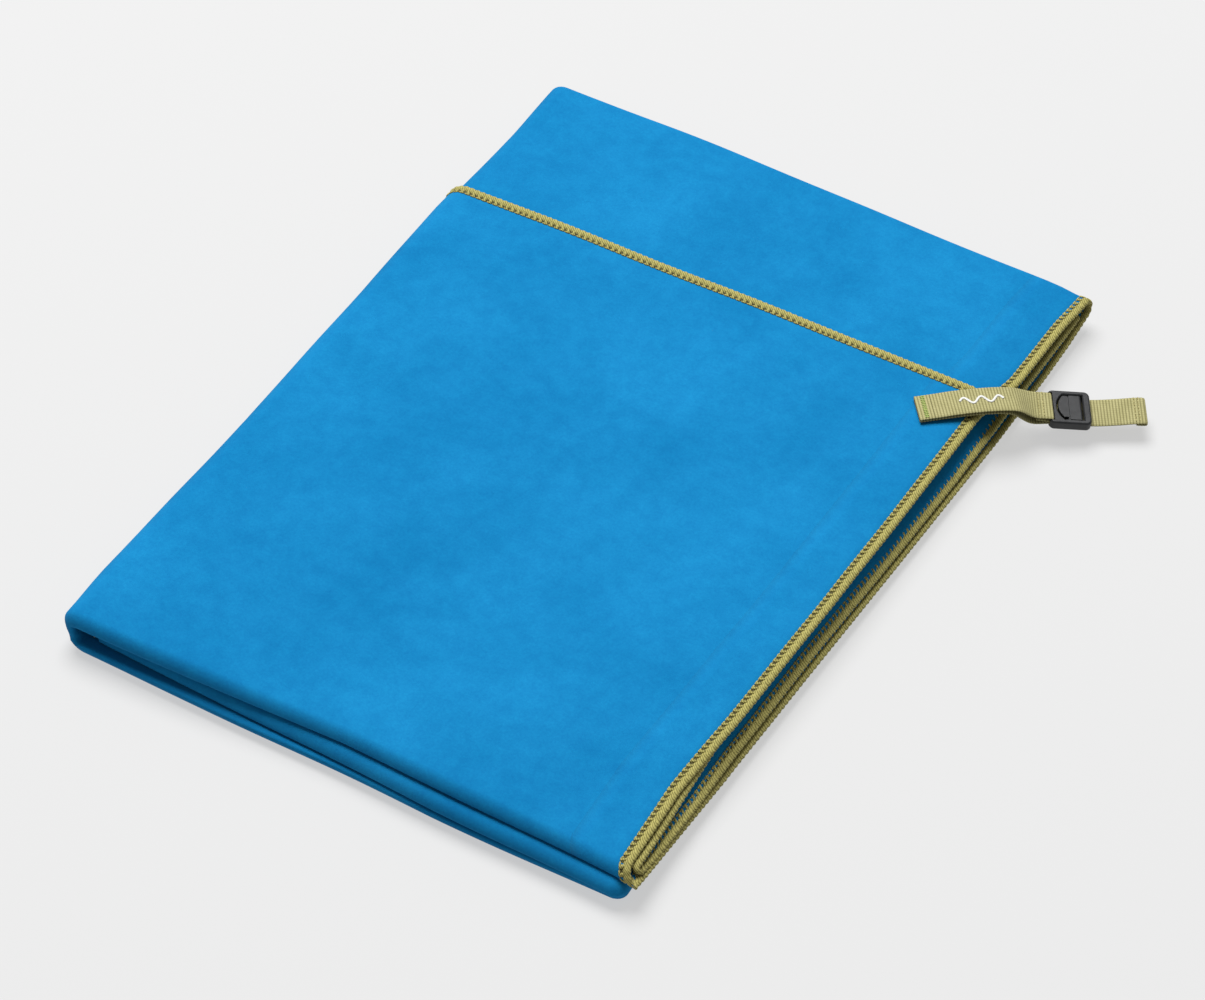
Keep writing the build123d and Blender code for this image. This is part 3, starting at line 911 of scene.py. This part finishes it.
def smooth_line(stations, spacing):
    """A smooth line through stations, with its sideways directions."""
    points = np.array([p for p, _ in stations])
    sides = np.array([s for _, s in stations])
    chord = np.concatenate([[0], np.cumsum(np.linalg.norm(np.diff(points, axis=0), axis=1))])
    fine = np.arange(0, chord[-1], spacing / 4)

    def through(values):
        slopes = np.gradient(values, chord, axis=0)
        k = np.clip(np.searchsorted(chord, fine, side="right") - 1, 0, len(chord) - 2)
        h = (chord[k + 1] - chord[k])[:, None]
        t = ((fine - chord[k]) / (chord[k + 1] - chord[k]))[:, None]
        return (
            (2 * t**3 - 3 * t**2 + 1) * values[k]
            + (t**3 - 2 * t**2 + t) * h * slopes[k]
            + (-2 * t**3 + 3 * t**2) * values[k + 1]
            + (t**3 - t**2) * h * slopes[k + 1]
        )

    line = through(points)
    side = unit(through(sides))
    forward = unit(np.gradient(line, axis=0))
    return Track(line, side, unit(np.cross(forward, side)))


def webbing(name, track, start=0.0, end=None):
    """Ribbed tape: closed cross-sections with ribs across the face and a selvage."""
    end = track.length[-1] if end is None else end
    count = int((end - start) / RIB * 8)
    along = np.linspace(start, end, count)
    half = WEB_WIDTH / 2
    columns = 17
    across_face = np.linspace(-half + 0.25, half - 0.25, columns)
    side = np.concatenate([across_face, [half], across_face[::-1], [-half]])
    top = np.concatenate([np.ones(columns), [0], -np.ones(columns), [0]])
    a, index = np.meshgrid(along, np.arange(len(side)), indexing="ij")
    rib = np.abs(np.sin(math.pi * a / RIB)) ** 0.7
    edge = 1.0 - 0.35 * (np.abs(side[index]) > half - 0.9)
    height = top[index] * (WEB / 2 - 0.16 * (1 - rib)) * edge
    bulge = np.sign(side[index]) * 0.12 * rib * (top[index] == 0)
    points, faces = tube(track.place(a, side[index] + bulge, height))
    uv = np.stack([a / RIB, side[index] / 0.9], axis=-1).reshape(-1, 2)
    piece = new_mesh(name, points, faces, WEBBING, uv=uv)
    return piece


def length_at(track, strap_frame, along, above):
    """The length along a track where it passes closest to a station."""
    spot, _ = station(strap_frame, along, above)
    return track.length[np.argmin(np.linalg.norm(track.points - spot, axis=1))]


def stitch_row(name, track, rows, height, half, material, gap=1.5, thread=0.33):
    """Rows of short stitches lying across the webbing."""
    template, template_faces = blob(thread, gap * 0.44, thread * 0.8)
    parts = []
    for along in rows:
        for place in np.arange(-half, half, gap) + gap / 2:
            lengthwise, crosswise, tall = template.T
            points = track.place(along + lengthwise, place + crosswise, height + tall)
            parts.append((points, template_faces))
    points, faces, _ = gather(parts)
    piece = new_mesh(name, points, faces, material)
    return piece


def u_turn(strap_frame, along, above, radius, steps=7):
    """Stations round a half circle, from its upper end to its lower end."""
    stations = []
    for angle in np.linspace(0, math.pi, steps):
        turned = along + abs(radius) * math.sin(angle)
        stations.append(station(strap_frame, turned, above + radius * math.cos(angle)))
    return stations


upper_track = smooth_line(
    [
        station(STRAP_FRAME, -3.0, UPPER_MIDDLE - 0.6),
        station(STRAP_FRAME, 3.0, UPPER_MIDDLE - 0.3),
        station(STRAP_FRAME, 12.0, UPPER_MIDDLE + 0.3),
        station(STRAP_FRAME, 22.0, UPPER_MIDDLE + 0.3),
        station(STRAP_FRAME, 28.0, UPPER_MIDDLE - 0.1),
        station(STRAP_FRAME, 33.0, UPPER_MIDDLE - 0.9),
        station(BUCKLE_FRAME, -12.5, LOOP_TOP),
        station(BUCKLE_FRAME, -8.6, LOOP_TOP),
    ]
    + u_turn(BUCKLE_FRAME, LOOP_CENTRE, (LOOP_TOP + LOOP_LOW) / 2, (LOOP_TOP - LOOP_LOW) / 2)
    + [
        station(BUCKLE_FRAME, -8.6, LOOP_LOW),
        station(BUCKLE_FRAME, -10.6, LOOP_LOW + 0.25),
        station(BUCKLE_FRAME, -13.2, LOOP_LOW + 0.5),
    ],
    RIB,
)
lower_track = smooth_line(
    [
        station(STRAP_FRAME, -3.0, LOWER_MIDDLE - 0.6),
        station(STRAP_FRAME, 3.0, LOWER_MIDDLE - 0.3),
        station(STRAP_FRAME, 24.0, LOWER_MIDDLE - 0.2),
        station(STRAP_FRAME, 30.0, LOWER_MIDDLE - 1.0),
        station(BUCKLE_FRAME, -13.0, TAIL_MIDDLE - 0.6),
        station(BUCKLE_FRAME, -8.0, TAIL_MIDDLE),
        station(BUCKLE_FRAME, 0.0, TAIL_MIDDLE),
        station(BUCKLE_FRAME, 9.0, TAIL_MIDDLE),
        station(BUCKLE_FRAME, 18.0, TAIL_MIDDLE + 1.3),
        station(BUCKLE_FRAME, TAIL_END - 3.5, TAIL_MIDDLE + TAIL_RISE - 0.2),
    ]
    + u_turn(BUCKLE_FRAME, TAIL_END - 0.9, TAIL_MIDDLE + TAIL_RISE - FOLD_RADIUS, FOLD_RADIUS)
    + [station(BUCKLE_FRAME, TAIL_END - 4.5, TAIL_MIDDLE + TAIL_RISE - 2 * FOLD_RADIUS - 0.2)],
    RIB,
)
SEWN = 5.7

sewn_end = webbing("strap_sewn_end_upper", upper_track, 0.0, SEWN)
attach(sewn_end, "opening_third")
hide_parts("strap_sewn_end")
sewn_lower = webbing("strap_sewn_end_lower", lower_track, 0.0, SEWN)
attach(sewn_lower, "opening_third")

upper_run = webbing("strap_upper_run_woven", upper_track, SEWN + 0.1)
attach(upper_run, "hanging_strap")
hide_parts("strap_upper_run")

# the lower run and the tail are one length of webbing, which slides at the buckle
lower_run = webbing("strap_lower_run_and_tail", lower_track, SEWN + 0.1)
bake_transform(lower_run)
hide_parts("strap_lower_run", "strap_tail")

bartack = stitch_row(
    "corner_bartack_stitched",
    upper_track,
    (2.4, 2.9, 3.4),
    WEB / 2 + 0.02,
    WEB_WIDTH / 2 - 0.6,
    LIME_THREAD,
    gap=0.9,
    thread=0.28,
)
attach(bartack, "opening_third")
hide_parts("corner_bartack")

loop_row = length_at(upper_track, BUCKLE_FRAME, -11.7, LOOP_TOP)
loop_rows = stitch_row(
    "loop_stitching_rows",
    upper_track,
    (loop_row, loop_row + 1.7),
    WEB / 2,
    WEB_WIDTH / 2 - 0.9,
    STRAP_THREAD,
    thread=0.22,
)
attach(loop_rows, "hanging_strap")
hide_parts("loop_stitching")

tail_row = length_at(lower_track, BUCKLE_FRAME, TAIL_END - 3.0, TAIL_MIDDLE + TAIL_RISE)
tail_rows = stitch_row(
    "tail_stitching_rows",
    lower_track,
    (tail_row, tail_row - 1.5),
    WEB / 2,
    WEB_WIDTH / 2 - 0.9,
    STRAP_THREAD,
    thread=0.22,
)
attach(tail_rows, "tail")
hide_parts("tail_stitching")


def wave_print(track, middle, length, depth, waves, width, raised):
    """A printed wave that lies on the webbing."""
    t = np.linspace(-0.5, 0.5, 90)
    bend = 2 * math.pi * waves * t
    along = middle + length * t
    side = depth * np.cos(bend)
    slope = -depth * np.sin(bend) * 2 * math.pi * waves / length
    square = unit(np.stack([-slope, np.ones_like(slope)], axis=1))
    corner = np.array([[-1, 0], [-0.8, 1], [0.8, 1], [1, 0]])
    ring_along = along[:, None] + corner[:, 0] * square[:, :1] * width / 2
    ring_side = side[:, None] + corner[:, 0] * square[:, 1:] * width / 2
    ring_height = WEB / 2 - 0.12 + corner[:, 1] * raised + 0 * ring_along
    points, faces = tube(track.place(ring_along, ring_side, ring_height))
    return new_mesh("strap_wave_print", points, faces, PRINT)


motif = wave_print(
    upper_track, middle=24.3, length=16.5, depth=1.5, waves=2.5, width=1.0, raised=0.4
)
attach(motif, "hanging_strap")
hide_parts("strap_motif")


# carried-over CAD parts -----------------------------------------------------------


def dress(node, material):
    """Give a CAD node its finish."""
    obj = frame["nodes"][node]
    obj.data.materials.clear()
    obj.data.materials.append(material)


dress("buckle_frame", PLASTIC)
dress("cam_lever", PLASTIC)
dress("lever_pin", STEEL)


# floor, light and camera ----------------------------------------------------------


FLOOR_WHITE = 0.18
FLOOR_GLOW = 0.53
KEY_POWER = 196.0
WORLD_STRENGTH = 0.30


def stage_floor():
    """A wide pale floor."""
    bpy.ops.mesh.primitive_plane_add(size=12.0, location=(0, 0, 0))
    floor = bpy.context.object
    floor.name = "floor"
    m = Nodes("floor_white", (FLOOR_WHITE, FLOOR_WHITE, FLOOR_WHITE), 0.9)
    m.shader.inputs["Specular IOR Level"].default_value = 0.0
    m.shader.inputs["Emission Color"].default_value = (1, 1, 1, 1)
    m.shader.inputs["Emission Strength"].default_value = FLOOR_GLOW
    floor.data.materials.append(m.material)


def area_light(name, position, target, size, power, color=(1, 1, 1)):
    data = bpy.data.lights.new(name, "AREA")
    data.shape = "DISK"
    data.size = size
    data.energy = power
    data.color = color
    light = bpy.data.objects.new(name, data)
    light.location = position
    direction = Vector(target) - Vector(position)
    light.rotation_euler = direction.to_track_quat("-Z", "Y").to_euler()
    bpy.context.scene.collection.objects.link(light)


stage_floor()
area_light("key_light", (-0.9, 0.9, 2.95), (0, 0, 0), 2.4, KEY_POWER)

world = bpy.data.worlds.new("studio")
world.use_nodes = True
world.node_tree.nodes["Background"].inputs["Color"].default_value = (1, 1, 1, 1)
world.node_tree.nodes["Background"].inputs["Strength"].default_value = WORLD_STRENGTH
bpy.context.scene.world = world
bpy.context.scene.view_settings.view_transform = "Standard"

CAMERA_AZIMUTH = math.radians(30.5)
CAMERA_ELEVATION = math.radians(45.2)
CAMERA_DISTANCE = 1.758
CAMERA_TARGET = Vector((0.0146, -0.0148, 0.008))
camera_data = bpy.data.cameras.new("camera")
camera_data.sensor_width = 36.0
camera_data.lens = 143.9
camera = bpy.data.objects.new("camera", camera_data)
backwards = Vector(
    (
        math.sin(CAMERA_AZIMUTH) * math.cos(CAMERA_ELEVATION),
        -math.cos(CAMERA_AZIMUTH) * math.cos(CAMERA_ELEVATION),
        math.sin(CAMERA_ELEVATION),
    )
)
camera.location = CAMERA_TARGET + backwards * CAMERA_DISTANCE
camera.rotation_euler = (-backwards).to_track_quat("-Z", "Y").to_euler()
bpy.context.scene.collection.objects.link(camera)
bpy.context.scene.camera = camera
